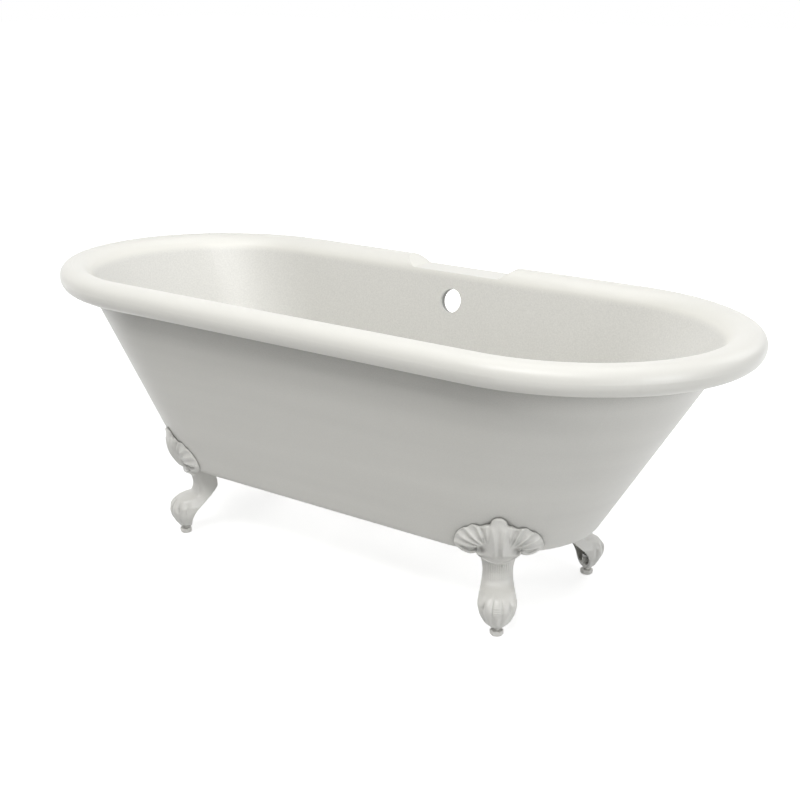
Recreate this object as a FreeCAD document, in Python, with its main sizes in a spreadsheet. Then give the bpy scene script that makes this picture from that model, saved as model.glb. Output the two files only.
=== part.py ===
import FreeCAD, Part
import math
import os
import Sketcher

# Double-ended roll top bath on four hollow claw-and-ball feet.
# Millimetres. X runs along the bath, +Y is the tap ledge side, Z is up, and the floor is Z = 0.

V = FreeCAD.Vector
doc = FreeCAD.newDocument("roll_top_bath")
sheet = doc.addObject("Spreadsheet::Sheet", "Sheet")

SIZES = {
    "rim_length": 1700,
    "rim_width": 720,
    "rim_height": 617.6,
    "rim_end": 393.5,
    "end_overhang": 75.5,
    "side_overhang": 62,
    "roll_height": 57.6,
    "roll_land": 0.1,
    "lip_round": 36,
    "base_half_length": 530.5,
    "base_half_width": 207.8,
    "base_end": 216.6,
    "base_height": 170,
    "base_round": 19,
    "tub_skin": 6,
    "outer_skin": 5,
    "skin_gap": 6,
    "board_thick": 15,
    "board_margin": 34,
    "floor_round": 80,
    "ledge_drop": 22.6,
    "ledge_half_length": 119,
    "ledge_ramp": 29,
    "overflow_drop": 85.1,
    "overflow_radius": 27.5,
    "overflow_seat": 44,
    "waste_radius": 26,
    "waste_offset": 95,
    "foot_in_along": 95.5,
    "foot_in_across": 26.8,
    "foot_turn": 57,
    "foot_wall": 5.5,
    "hollow_open": 45,
    "sole_height": 15.5,
    "seat_gap": 0.4,
    "leaf_hub_drop": 20,
    "leaf_hub_in": 16,
    "leaf_lean": 22.3,
    "leaf_wrap": 11,
    "collar_drop": 2,
    "collar_in": 36,
    "collar_ring": 32,
    "collar_bead": 5,
    "collar_tilt": 28,
    "toe_centre_rise": 40.5,
    "toe_centre_in": 4.5,
    "toe_ring": 29,
    "toe_thick": 10.5,
    "toe_pitch": 31,
    "toe_start": 68,
    "toe_sweep": 125,
    "lug_thick": 7,
    "lug_reach": 90,
    "lug_half": 32,
    "bolt_in": 68,
    "bolt_spread": 19,
    "bolt_radius": 4,
    "bolt_clearance": 0.5,
    "bolt_tip_gap": 1,
    "bolt_head": 13,
    "bolt_head_thick": 5.3,
    "washer_radius": 8,
    "washer_thick": 1.6,
    "insert_radius": 5.5,
    "insert_length": 13,
    "thread_gap": 0.1,
    "stem_radius": 6,
    "stem_length": 62,
    "stem_root": 1,
    "head_across": 24,
    "head_height": 10.5,
    "head_chamfer": 0.4,
    "boss_radius": 10,
    "boss_rise": 6,
    "boss_height": 17,
    "nut_across": 18,
    "nut_height": 7,
    "running_gap": 0.3,
    "drill_over": 25,
    "loft_over": 12,
}

# Leg stations from the sole to the seat: share of the leg's height, front, back and half width.
STATIONS = {
    "sole": (0.0, 8.5, -8.5, 8.5),
    "claw": (0.025, 14, -10, 15),
    "nail": (0.065, 18, -10.5, 23),
    "pad": (0.14, 24, -11, 31),
    "ball": (0.225, 31, -14, 36.5),
    "knuckle": (0.305, 33.3, -22, 38.3),
    "instep": (0.39, 28, -36, 36.5),
    "ankle": (0.44, 21.5, -45, 34.5),
    "step": (0.48, 10, -51, 33.2),
    "bend": (0.51, -7, -56, 32.3),
    "heel": (0.55, -16.5, -61, 31.5),
    "shin": (0.675, -23, -73.5, 30.5),
    "calf": (0.84, -17, -67, 33.5),
    "knee": (0.92, -14, -62, 36),
    "seat": (1.0, -12, -58, 38),
}
# Leaf lobes: angle from the middle rib, reach from the hub, half length, bulge and half width.
MIDDLE_LOBES = {
    "crown": (0, 120, 34, 14, 17),
    "trunk": (0, 102, 52, 21, 25),
}
PAIRED_LOBES = {
    "inner": (17, 101, 40, 18, 22),
    "upper": (31, 107, 40, 17, 23),
    "side": (45, 109, 40, 16, 22),
    "wing": (59, 102, 44, 13, 19),
    "tail": (68, 92, 40, 10, 12),
    "sail": (38, 98, 50, 15, 38),
}

for name, (rise, front, back, half) in STATIONS.items():
    SIZES[name + "_rise"] = rise
    SIZES[name + "_front"] = front
    SIZES[name + "_back"] = back
    SIZES[name + "_half"] = half
for name, (angle, reach, length, bulge, half) in {**MIDDLE_LOBES, **PAIRED_LOBES}.items():
    SIZES[name + "_lobe_angle"] = angle
    SIZES[name + "_lobe_reach"] = reach
    SIZES[name + "_lobe_length"] = length
    SIZES[name + "_lobe_bulge"] = bulge
    SIZES[name + "_lobe_half"] = half

for row, (alias, value) in enumerate(SIZES.items(), start=1):
    sheet.set("A%d" % row, str(value))
    sheet.setAlias("A%d" % row, alias)
doc.recompute()


def val(expression):
    """The number that an expression over the sheet gives."""
    return float(sheet.evalExpression(expression.replace("Sheet.", "")))


def bind(obj, **expressions):
    """Bind properties to expressions; a double underscore stands for a dot."""
    for prop, expression in expressions.items():
        obj.setExpression(prop.replace("__", "."), expression)
    return obj


def plane_of(body, role):
    return [item for item in body.Origin.OriginFeatures if item.Role == role][0]


def new_sketch(body, name, role):
    sketch = body.newObject("Sketcher::SketchObject", name)
    sketch.AttachmentSupport = [(plane_of(body, role), "")]
    sketch.MapMode = "FlatFace"
    return sketch


def size_constraint(sketch, name, constraint, expression):
    index = sketch.addConstraint(constraint)
    sketch.renameConstraint(index, name)
    sketch.setExpression("Constraints." + name, expression)


# An oval outline: straight sides, and ends of three tangent arcs that meet at 45 degrees.
JOIN = 1 + math.sqrt(0.5)


def oval_sketch(body, name, height, length, width, end):
    """length, width and end are half length, half width and depth of the curved end, as expressions."""
    sketch = new_sketch(body, name, "XY_Plane")
    sketch.setExpression("AttachmentOffset.Base.z", height)
    tip_text = "(%s) - ((%s) - (%s)) * %.9f" % (end, end, width, JOIN)
    a, b, e, tip = val(length), val(width), val(end), val(tip_text)
    side = b + (e - b) * JOIN
    s = a - e
    quarter = math.pi / 4
    up = V(0, 0, 1)

    def arc(x, y, radius, start, stop):
        return Part.ArcOfCircle(Part.Circle(V(x, y, 0), up, radius), start * quarter, stop * quarter)

    sketch.addGeometry(
        [
            arc(a - tip, 0, tip, -1, 1),
            arc(s, b - side, side, 1, 2),
            Part.LineSegment(V(s, b, 0), V(-s, b, 0)),
            arc(-s, b - side, side, 2, 3),
            arc(tip - a, 0, tip, 3, 5),
            arc(-s, side - b, side, 5, 6),
            Part.LineSegment(V(-s, -b, 0), V(s, -b, 0)),
            arc(s, side - b, side, 6, 7),
        ],
        False,
    )
    make = Sketcher.Constraint
    sketch.addConstraint([make("Tangent", i, 2, (i + 1) % 8, 1) for i in range(8)])
    sketch.addConstraint(
        [
            make("Symmetric", 2, 1, 2, 2, -2),
            make("Symmetric", 6, 1, 6, 2, -2),
            make("Symmetric", 2, 1, 6, 2, -1),
            make("PointOnObject", 0, 3, -1),
            make("Symmetric", 0, 3, 4, 3, -1, 1),
            make("Equal", 0, 4),
        ]
    )
    size_constraint(sketch, "half_width", make("DistanceY", -1, 1, 2, 1, b), width)
    size_constraint(sketch, "straight", make("DistanceX", -1, 1, 2, 1, s), "(%s) - (%s)" % (length, end))
    tip_centre = make("DistanceX", -1, 1, 0, 3, a - tip)
    size_constraint(sketch, "tip_centre", tip_centre, "(%s) - (%s)" % (length, tip_text))
    size_constraint(sketch, "tip_radius", make("Radius", 0, tip), tip_text)
    return sketch


RIM_BOTTOM = "(Sheet.rim_height - Sheet.roll_height)"
BOARD_LOW = "(Sheet.base_height + Sheet.outer_skin)"
BOARD_TOP = "(Sheet.base_height + Sheet.outer_skin + Sheet.board_thick)"
FLOOR = "(Sheet.base_height + Sheet.outer_skin + Sheet.board_thick + Sheet.tub_skin)"
WALL_RUN = "(%s - Sheet.base_height)" % RIM_BOTTOM
WALL_TOP = {
    "half_length": "(Sheet.rim_length / 2 - Sheet.end_overhang)",
    "half_width": "(Sheet.rim_width / 2 - Sheet.side_overhang)",
    "end": "(Sheet.rim_end - Sheet.end_overhang)",
}
CAVITY_INSET = "(Sheet.outer_skin + Sheet.skin_gap + Sheet.tub_skin)"
TUB_INSET = "(Sheet.outer_skin + Sheet.skin_gap)"
LEDGE = "(Sheet.rim_height - Sheet.ledge_drop)"
OVERFLOW = "(Sheet.rim_height - Sheet.overflow_drop)"
FOOT_ALONG = "(Sheet.base_half_length - Sheet.foot_in_along)"
FOOT_ACROSS = "(Sheet.base_half_width - Sheet.foot_in_across)"
DRILL_LOW = "Sheet.base_height - Sheet.drill_over"


def wall_slope(way):
    return "((%s - Sheet.base_%s) / %s)" % (WALL_TOP[way], way, WALL_RUN)


def wall_at(height, inset, way, lean):
    """A wall measure at a height, moved in by an inset taken square to the wall."""
    return "(Sheet.base_%s + %s * (%s - Sheet.base_height) - (%s) * sqrt(1 + %s ^ 2))" % (
        way,
        wall_slope(way),
        height,
        inset,
        wall_slope(lean),
    )


def wall_oval(body, name, height, inset):
    return oval_sketch(
        body,
        name,
        height,
        wall_at(height, inset, "half_length", "half_length"),
        wall_at(height, inset, "half_width", "half_width"),
        wall_at(height, inset, "end", "half_length"),
    )


def rim_oval(body, name, height, inset):
    return oval_sketch(
        body,
        name,
        height,
        "Sheet.rim_length / 2 - (%s)" % inset,
        "Sheet.rim_width / 2 - (%s)" % inset,
        "Sheet.rim_end - (%s)" % inset,
    )


def wall_loft(body, kind, name, top, bottom, inset):
    """A tapered wall solid, lofted from its top outline down to its bottom one."""
    upper = wall_oval(body, name + "_top_outline", top, inset)
    lower = wall_oval(body, name + "_bottom_outline", bottom, inset)
    feature = body.newObject("PartDesign::%sLoft" % kind, name)
    feature.Profile = upper
    feature.Sections = [lower]
    feature.Ruled = True
    doc.recompute()
    return feature


def edges_at(feature, height, inside=False):
    """Names of the level edges at a height; inside keeps those clear of the rim's outer round."""
    names = []
    reach = val("Sheet.rim_length / 2 - Sheet.roll_height / 2 - Sheet.tub_skin")
    breadth = val("Sheet.rim_width / 2 - Sheet.roll_height / 2 - Sheet.tub_skin")
    for index, edge in enumerate(feature.Shape.Edges, start=1):
        box = edge.BoundBox
        level = box.ZLength < 0.01 and abs(box.ZMax - height) < 0.01
        within = max(-box.XMin, box.XMax) < reach and max(-box.YMin, box.YMax) < breadth
        if level and (within or not inside):
            names.append("Edge%d" % index)
    return names


def take_away(body, tool, name):
    feature = body.newObject("PartDesign::Boolean", name)
    feature.Type = "Cut"
    feature.setObjects([tool])
    doc.recompute()
    return feature


def round_edges(body, feature, name, names, radius):
    fillet = body.newObject("PartDesign::Fillet", name)
    fillet.Base = (feature, names)
    fillet.setExpression("Radius", radius)
    doc.recompute()
    return fillet


def pad(body, sketch, name, length, both_sides=False):
    feature = body.newObject("PartDesign::Pad", name)
    feature.Profile = sketch
    feature.setExpression("Length", length)
    feature.SideType = "Symmetric" if both_sides else "One side"
    doc.recompute()
    return feature


def cylinder(name, radius, height, base, direction=V(0, 0, 1)):
    """A cylinder from a base point of three expressions along a direction."""
    item = doc.addObject("Part::Cylinder", name)
    item.Placement = FreeCAD.Placement(V(0, 0, 0), FreeCAD.Rotation(V(0, 0, 1), direction))
    bind(item, Radius=radius, Height=height)
    bind(item, Placement__Base__x=base[0], Placement__Base__y=base[1], Placement__Base__z=base[2])
    return item


def fuse(name, items):
    item = doc.addObject("Part::MultiFuse", name)
    item.Shapes = items
    item.Refine = False
    return item


def cut(name, base, tool):
    item = doc.addObject("Part::Cut", name)
    item.Base = base
    item.Tool = tool
    item.Refine = False
    return item


# Foot frame: u outward, v sideways, both turned about the leveller's axis of the front right foot.
TURN = math.radians(-SIZES["foot_turn"])
OUT = V(math.cos(TURN), math.sin(TURN), 0)
SIDE = V(-math.sin(TURN), math.cos(TURN), 0)


def foot_x(u, v="0"):
    return "%s + (%s) * cos(Sheet.foot_turn) + (%s) * sin(Sheet.foot_turn)" % (FOOT_ALONG, u, v)


def foot_y(u, v="0"):
    return "-%s - (%s) * sin(Sheet.foot_turn) + (%s) * cos(Sheet.foot_turn)" % (FOOT_ACROSS, u, v)


def foot_point(u, v, z):
    return (foot_x(u, v), foot_y(u, v), z)


def bolt_cylinders(name, radius, height, z):
    """One cylinder on each bolt axis of the front right foot."""
    items = []
    for index, sign in enumerate(("-", ""), start=1):
        base = foot_point("-Sheet.bolt_in", sign + "Sheet.bolt_spread", z)
        items.append(cylinder("%s_%d" % (name, index), radius, height, base))
    return items


def mirrored(name, source, normal):
    item = doc.addObject("Part::Mirroring", name)
    item.Source = source
    item.Normal = normal
    return item


def four_corners(name, source):
    """The front right piece and its mirror images, in the order of CORNERS."""
    left = mirrored("front_left_" + name, source, V(1, 0, 0))
    rear = mirrored("rear_right_" + name, source, V(0, 1, 0))
    far = mirrored("rear_left_" + name, left, V(0, 1, 0))
    return {"front_right": source, "front_left": left, "rear_right": rear, "rear_left": far}


# Holes through the base for the foot bolts, on all four corners, and for the waste.
BOLT_HOLE = "Sheet.bolt_radius + Sheet.bolt_clearance"
hole_pair = fuse("hole_pair", bolt_cylinders("skin_hole", BOLT_HOLE, "2 * Sheet.drill_over", DRILL_LOW))
skin_holes = list(four_corners("bolt_holes", hole_pair).values())
socket_pair = fuse(
    "socket_pair",
    bolt_cylinders(
        "board_socket",
        "Sheet.insert_radius + Sheet.thread_gap",
        "Sheet.insert_length + Sheet.bolt_clearance + Sheet.drill_over",
        BOARD_LOW + " - Sheet.drill_over",
    ),
)
board_sockets = list(four_corners("board_sockets", socket_pair).values())
waste_drill = cylinder(
    "waste_drill",
    "Sheet.waste_radius",
    "%s - Sheet.base_height + 2 * Sheet.drill_over" % FLOOR,
    ("0", "Sheet.waste_offset", DRILL_LOW),
)

# The overflow hole runs square to the far side wall.
LEAN = math.atan(val(wall_slope("half_width")))
SQUARE = V(0, math.cos(LEAN), -math.sin(LEAN))
LEVEL = "sqrt(1 + %s ^ 2)" % wall_slope("half_width")


def overflow_base(inset):
    """A point on the overflow axis at a depth in from the outer face, as expressions."""
    y = wall_at(OVERFLOW, CAVITY_INSET, "half_width", "half_width")
    ahead = "(%s - (%s))" % (CAVITY_INSET, inset)
    return (
        "0",
        "%s + %s / %s" % (y, ahead, LEVEL),
        "%s - %s * %s / %s" % (OVERFLOW, ahead, wall_slope("half_width"), LEVEL),
    )


overflow_drill = cylinder(
    "overflow_drill",
    "Sheet.overflow_radius",
    CAVITY_INSET + " + 2 * Sheet.drill_over",
    overflow_base(CAVITY_INSET + " + Sheet.drill_over"),
    SQUARE,
)

# Bath moulding: bowl and full-round rim in one piece.
tub = doc.addObject("PartDesign::Body", "tub_body")
slab = pad(tub, rim_oval(tub, "rim_outline", RIM_BOTTOM, "0"), "rim_slab", "Sheet.roll_height")
rim_edges = edges_at(slab, val("Sheet.rim_height")) + edges_at(slab, val(RIM_BOTTOM))
round_edges(tub, slab, "rim_roll", rim_edges, "Sheet.roll_height / 2 - Sheet.roll_land")
bowl = wall_loft(tub, "Additive", "bowl_outside", RIM_BOTTOM + " + Sheet.loft_over", BOARD_TOP, TUB_INSET)
bowl_edges = edges_at(bowl, val(BOARD_TOP))
round_edges(tub, bowl, "bowl_outside_round", bowl_edges, "Sheet.floor_round + Sheet.tub_skin")
cavity = doc.addObject("PartDesign::Body", "cavity_body")
well = wall_loft(cavity, "Additive", "bowl_inside", "Sheet.rim_height + Sheet.loft_over", FLOOR, CAVITY_INSET)
round_edges(cavity, well, "floor_fillet", edges_at(well, val(FLOOR)), "Sheet.floor_round")
bowl_cut = take_away(tub, cavity, "bowl_cut")
lip_edges = edges_at(bowl_cut, val("Sheet.rim_height"), True)
round_edges(tub, bowl_cut, "lip_fillet", lip_edges, "Sheet.lip_round")

# Tap ledge: a flat with sloping ends let into the far rim. The cut runs on past the rim's top.
RUN_ON = 1.5
LEDGE_OVER = "(%s + Sheet.ledge_drop * %s)" % (LEDGE, RUN_ON)
LEDGE_SPREAD = "(Sheet.ledge_half_length + Sheet.ledge_ramp * %s)" % RUN_ON
ledge = new_sketch(tub, "ledge_outline", "XZ_Plane")
half, low = val("Sheet.ledge_half_length"), val(LEDGE)
wide, over = val(LEDGE_SPREAD), val(LEDGE_OVER)
corners = [V(-half, low, 0), V(half, low, 0), V(wide, over, 0), V(-wide, over, 0)]
ledge.addGeometry([Part.LineSegment(corners[i], corners[(i + 1) % 4]) for i in range(4)], False)
fix = Sketcher.Constraint
ledge.addConstraint([fix("Coincident", i, 2, (i + 1) % 4, 1) for i in range(4)])
ledge.addConstraint([fix("Symmetric", 0, 1, 0, 2, -2), fix("Symmetric", 2, 1, 2, 2, -2)])
size_constraint(ledge, "flat_half", fix("DistanceX", -1, 1, 0, 2, half), "Sheet.ledge_half_length")
size_constraint(ledge, "flat_height", fix("DistanceY", -1, 1, 0, 2, low), LEDGE)
size_constraint(ledge, "top_half", fix("DistanceX", -1, 1, 1, 2, wide), LEDGE_SPREAD)
size_constraint(ledge, "top_height", fix("DistanceY", -1, 1, 1, 2, over), LEDGE_OVER)
doc.recompute()
whole = tub.Tip.Shape.Volume
ledge_cut = tub.newObject("PartDesign::Pocket", "ledge_cut")
ledge_cut.Profile = ledge
ledge_cut.setExpression("Length", "Sheet.rim_width")
doc.recompute()
ledge_y = val("(Sheet.rim_width - Sheet.roll_height) / 2")
ledge_side = V(0, ledge_y, val("Sheet.rim_height - Sheet.ledge_drop / 2"))
if tub.Tip.Shape.Volume >= whole or tub.Tip.Shape.isInside(ledge_side, 0.01, True):
    raise RuntimeError("the tap ledge is not cut into the far rim")

tub_tools = fuse("tub_drills", [waste_drill, overflow_drill])
inner_tub = cut("inner_tub", tub, tub_tools)

# Outer skin, open at the top, butted to the flat under the rim.
shell = doc.addObject("PartDesign::Body", "shell_body")
taper = wall_loft(shell, "Additive", "skin_outside", RIM_BOTTOM, "Sheet.base_height", "0")
round_edges(shell, taper, "skin_base_round", edges_at(taper, val("Sheet.base_height")), "Sheet.base_round")
core = doc.addObject("PartDesign::Body", "core_body")
SKIN_OVER = RIM_BOTTOM + " + Sheet.loft_over"
hollow = wall_loft(core, "Additive", "skin_inside", SKIN_OVER, BOARD_LOW, "Sheet.outer_skin")
core_edges = edges_at(hollow, val(BOARD_LOW))
round_edges(core, hollow, "skin_inside_round", core_edges, "Sheet.base_round - Sheet.outer_skin")
take_away(shell, core, "skin_hollow")
skin_tools = fuse("skin_drills", [waste_drill, overflow_drill] + skin_holes)
outer_skin = cut("outer_skin", shell, skin_tools)

# Base board between the skins.
board = doc.addObject("PartDesign::Body", "board_body")
board_outline = wall_oval(board, "board_outline", BOARD_LOW, "Sheet.board_margin")
pad(board, board_outline, "board_plate", "Sheet.board_thick")
base_board = cut("base_board", board, fuse("board_drills", [waste_drill] + board_sockets))

# Spacer between the skins round the overflow hole, flat at the top where the rim passes over it.
SPACER_LOW = overflow_base(TUB_INSET)
ring_outer = cylinder("spacer_outer", "Sheet.overflow_seat", "Sheet.skin_gap", SPACER_LOW, SQUARE)
rim_side = doc.addObject("Part::Box", "spacer_top_flat")
bind(rim_side, Length="2 * Sheet.overflow_seat", Width="Sheet.rim_width", Height="Sheet.overflow_seat")
bind(rim_side, Placement__Base__x="-Sheet.overflow_seat", Placement__Base__z=RIM_BOTTOM + " - Sheet.seat_gap")
overflow_spacer = cut("overflow_spacer", ring_outer, fuse("spacer_tools", [overflow_drill, rim_side]))


# Foot casting, modelled at the front right corner.
def station_height(name):
    return "(Sheet.sole_height + Sheet.%s_rise * (Sheet.base_height - Sheet.sole_height))" % name


def leg_sketch(body, name, height, front, back, half_width):
    """A D section: a half-round front, straight sides and a flat back."""
    sketch = new_sketch(body, name, "XY_Plane")
    sketch.setExpression("AttachmentOffset.Base.z", height)
    f, b, w = val(front), val(back), val(half_width)
    c = f - w
    round_front = Part.ArcOfCircle(Part.Circle(V(c, 0, 0), V(0, 0, 1), w), -math.pi / 2, math.pi / 2)
    sketch.addGeometry(
        [
            round_front,
            Part.LineSegment(V(c, w, 0), V(b, w, 0)),
            Part.LineSegment(V(b, w, 0), V(b, -w, 0)),
            Part.LineSegment(V(b, -w, 0), V(c, -w, 0)),
        ],
        False,
    )
    make = Sketcher.Constraint
    sketch.addConstraint(
        [
            make("Tangent", 0, 2, 1, 1),
            make("Coincident", 1, 2, 2, 1),
            make("Coincident", 2, 2, 3, 1),
            make("Tangent", 3, 2, 0, 1),
            make("Horizontal", 1),
            make("Vertical", 2),
            make("PointOnObject", 0, 3, -1),
        ]
    )
    size_constraint(sketch, "half_width", make("Radius", 0, w), half_width)
    size_constraint(sketch, "front", make("DistanceX", -1, 1, 0, 3, c), "(%s) - (%s)" % (front, half_width))
    size_constraint(sketch, "back", make("DistanceX", -1, 1, 1, 2, b), back)
    sketch.addConstraint(make("Horizontal", 3))
    return sketch


def leg_loft(name, stations):
    """A loft down the leg through D sections, turned to the foot's place."""
    body = doc.addObject("PartDesign::Body", name)
    sketches = [leg_sketch(body, "%s_%s" % (name, key), *sizes) for key, sizes in stations]
    feature = body.newObject("PartDesign::AdditiveLoft", name + "_loft")
    feature.Profile = sketches[0]
    feature.Sections = sketches[1:]
    feature.Ruled = False
    body.Placement = FreeCAD.Placement(V(0, 0, 0), FreeCAD.Rotation(V(0, 0, 1), -SIZES["foot_turn"]))
    bind(body, Placement__Base__x=FOOT_ALONG, Placement__Base__y="-" + FOOT_ACROSS)
    doc.recompute()
    return body


def station(name):
    size = "Sheet.%s_" % name
    return (station_height(name), size + "front", size + "back", size + "half")


def inner_station(name):
    size = "Sheet.%s_" % name
    return (
        station_height(name),
        size + "front - Sheet.foot_wall",
        size + "back - Sheet.hollow_open",
        size + "half - Sheet.foot_wall",
    )


descending = list(reversed(list(STATIONS)))
leg = leg_loft("leg", [(name, station(name)) for name in descending])
hollow_top = (
    "Sheet.base_height - Sheet.lug_thick",
    "Sheet.seat_front - Sheet.foot_wall",
    "Sheet.seat_back - Sheet.hollow_open",
    "Sheet.seat_half - Sheet.foot_wall",
)
hollow_names = [name for name in descending if name not in ("seat", "claw", "sole")]
hollow_stations = [(name, inner_station(name)) for name in hollow_names]
leg_hollow = leg_loft("leg_hollow", [("top", hollow_top)] + hollow_stations)


def world(u, v, z):
    return V(val(FOOT_ALONG), -val(FOOT_ACROSS), 0) + OUT * u + SIDE * v + V(0, 0, z)


LEAN_IN = math.radians(SIZES["leaf_lean"])
UPHILL = OUT * math.sin(LEAN_IN) + V(0, 0, math.cos(LEAN_IN))
OFF_WALL = OUT * math.cos(LEAN_IN) - V(0, 0, math.sin(LEAN_IN))


def lobe(name, key, sign):
    """A leaf lobe: an ellipsoid that lies on the curved wall and points away from the leaf's hub."""
    item = doc.addObject("Part::Ellipsoid", name)
    angle = math.radians(SIZES[key + "_lobe_angle"]) * sign
    wrap = math.radians(SIZES["leaf_wrap"]) * math.sin(angle)
    rib = UPHILL * math.cos(angle) + SIDE * math.sin(angle)
    facing = OFF_WALL * math.cos(wrap) + SIDE * math.sin(wrap)
    turn = FreeCAD.Rotation(rib, facing.cross(rib), facing, "ZXY")
    hub = world(-SIZES["leaf_hub_in"], 0, val("Sheet.base_height - Sheet.leaf_hub_drop"))
    middle = SIZES[key + "_lobe_reach"] - SIZES[key + "_lobe_length"]
    item.Placement = FreeCAD.Placement(hub + turn.multVec(V(1, 0, 0)) * middle, turn)
    size = "Sheet.%s_lobe_" % key
    bind(item, Radius1=size + "bulge", Radius2=size + "length", Radius3=size + "half")
    item.Angle1 = -90
    item.Angle2 = 90
    item.Angle3 = 360
    return item


lobes = [lobe(key + "_lobe", key, 1) for key in MIDDLE_LOBES]
for key in PAIRED_LOBES:
    lobes.append(lobe(key + "_lobe_left", key, -1))
    lobes.append(lobe(key + "_lobe_right", key, 1))


def bent_rod(name, ring, thick, sweep, place):
    item = doc.addObject("Part::Torus", name)
    item.Placement = place
    bind(item, Radius1=ring, Radius2=thick, Angle3=sweep)
    item.Angle1 = -180
    item.Angle2 = 180
    return item


def toe(name, step):
    """A toe: a bent rod over the ball, from the instep down to the claw, some steps off the middle."""
    bearing = math.radians(SIZES["toe_pitch"]) * step
    start = math.radians(SIZES["toe_start"])
    up = V(0, 0, 1)
    ahead = OUT * math.cos(bearing) + SIDE * math.sin(bearing)
    begin = ahead * math.cos(start) + up * math.sin(start)
    axis = up.cross(ahead)
    centre = world(-SIZES["toe_centre_in"], 0, val("Sheet.sole_height + Sheet.toe_centre_rise"))
    place = FreeCAD.Placement(centre, FreeCAD.Rotation(begin, axis.cross(begin), axis, "ZXY"))
    return bent_rod(name, "Sheet.toe_ring", "Sheet.toe_thick", "Sheet.toe_sweep", place)


toes = [toe("toe_%d" % index, step) for index, step in enumerate((-2, -1, 0, 1, 2), start=1)]

# The collar bead under the leaf: a half ring that dips at the front.
tilt = FreeCAD.Rotation(SIDE, SIZES["collar_tilt"])
collar_place = FreeCAD.Placement(
    world(-SIZES["collar_in"], 0, val("Sheet.base_height - Sheet.collar_drop")),
    tilt.multiply(FreeCAD.Rotation(V(0, 0, 1), -SIZES["foot_turn"] - 90)),
)
collar = bent_rod("collar_bead_ring", "Sheet.collar_ring", "Sheet.collar_bead", "180", collar_place)

outside = fuse("foot_outside", [leg, collar] + lobes + toes)
casting = cut("foot_casting", outside, leg_hollow)

lug = doc.addObject("Part::Box", "lug")
lug.Placement = FreeCAD.Placement(V(0, 0, 0), FreeCAD.Rotation(V(0, 0, 1), -SIZES["foot_turn"]))
bind(lug, Length="Sheet.lug_reach + Sheet.seat_front - Sheet.foot_wall")
bind(lug, Width="2 * Sheet.lug_half", Height="Sheet.lug_thick")
lug_x, lug_y, lug_z = foot_point("-Sheet.lug_reach", "-Sheet.lug_half", "Sheet.base_height - Sheet.lug_thick")
bind(lug, Placement__Base__x=lug_x, Placement__Base__y=lug_y, Placement__Base__z=lug_z)
BOSS_LOW = "Sheet.sole_height + Sheet.boss_rise"
boss = cylinder("boss", "Sheet.boss_radius", "Sheet.boss_height", foot_point("0", "0", BOSS_LOW))
solid_foot = fuse("solid_foot", [casting, lug, boss])

# The seat follows the bath wall with a small gap; the lug bears on the flat base.
NUT_LOW = BOSS_LOW + " + Sheet.boss_height"
seat = doc.addObject("PartDesign::Body", "seat_body")
wall_loft(seat, "Additive", "seat_wall", RIM_BOTTOM, "Sheet.base_height", "-Sheet.seat_gap")
stem_bore = cylinder(
    "stem_bore",
    "Sheet.stem_radius + Sheet.running_gap",
    NUT_LOW + " + Sheet.nut_height + 2 * Sheet.drill_over",
    foot_point("0", "0", "-Sheet.drill_over"),
)
lug_holes = bolt_cylinders("lug_hole", BOLT_HOLE, "2 * Sheet.drill_over", DRILL_LOW)
foot = cut("front_right_foot", solid_foot, fuse("foot_tools", [seat, stem_bore] + lug_holes))


# Fasteners of one corner.
def hex_prism(name, across, height, base):
    """A hexagon with two of its corners to the foot's sides."""
    item = doc.addObject("Part::Prism", name)
    item.Polygon = 6
    item.Placement = FreeCAD.Placement(V(0, 0, 0), FreeCAD.Rotation(V(0, 0, 1), 90 - SIZES["foot_turn"]))
    bind(item, Circumradius="(%s) / sqrt(3)" % across, Height=height)
    bind(item, Placement__Base__x=base[0], Placement__Base__y=base[1], Placement__Base__z=base[2])
    return item


head_prism = hex_prism("leveller_hex", "Sheet.head_across", "Sheet.head_height", foot_point("0", "0", "0"))
head_cone = doc.addObject("Part::Cone", "leveller_chamfer")
bind(head_cone, Radius1="Sheet.head_across / 2 - Sheet.head_chamfer")
bind(head_cone, Radius2="Sheet.head_across / 2 + Sheet.head_height", Height="Sheet.head_height")
bind(head_cone, Placement__Base__x=foot_x("0"), Placement__Base__y=foot_y("0"))
head = doc.addObject("Part::Common", "leveller_head")
head.Base = head_prism
head.Tool = head_cone
STEM_LOW = "Sheet.head_height - Sheet.stem_root"
stem = cylinder("leveller_stem", "Sheet.stem_radius", "Sheet.stem_length", foot_point("0", "0", STEM_LOW))
leveller = fuse("front_right_leveller", [head, stem])

nut_prism = hex_prism("nut_hex", "Sheet.nut_across", "Sheet.nut_height", foot_point("0", "0", NUT_LOW))
lock_nut = cut("front_right_lock_nut", nut_prism, stem_bore)

WASHER_LOW = "Sheet.base_height - Sheet.lug_thick - Sheet.washer_thick"
HEAD_LOW = WASHER_LOW + " - Sheet.bolt_head_thick"
washer_blanks = bolt_cylinders("washer_blank", "Sheet.washer_radius", "Sheet.washer_thick", WASHER_LOW)
WASHER_HOLE = "Sheet.bolt_radius + Sheet.running_gap"
washer_holes = bolt_cylinders("washer_hole", WASHER_HOLE, "2 * Sheet.drill_over", DRILL_LOW)
washer_pair = fuse("washer_pair", washer_blanks)
washers = cut("front_right_foot_washers", washer_pair, fuse("washer_bores", washer_holes))

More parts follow.
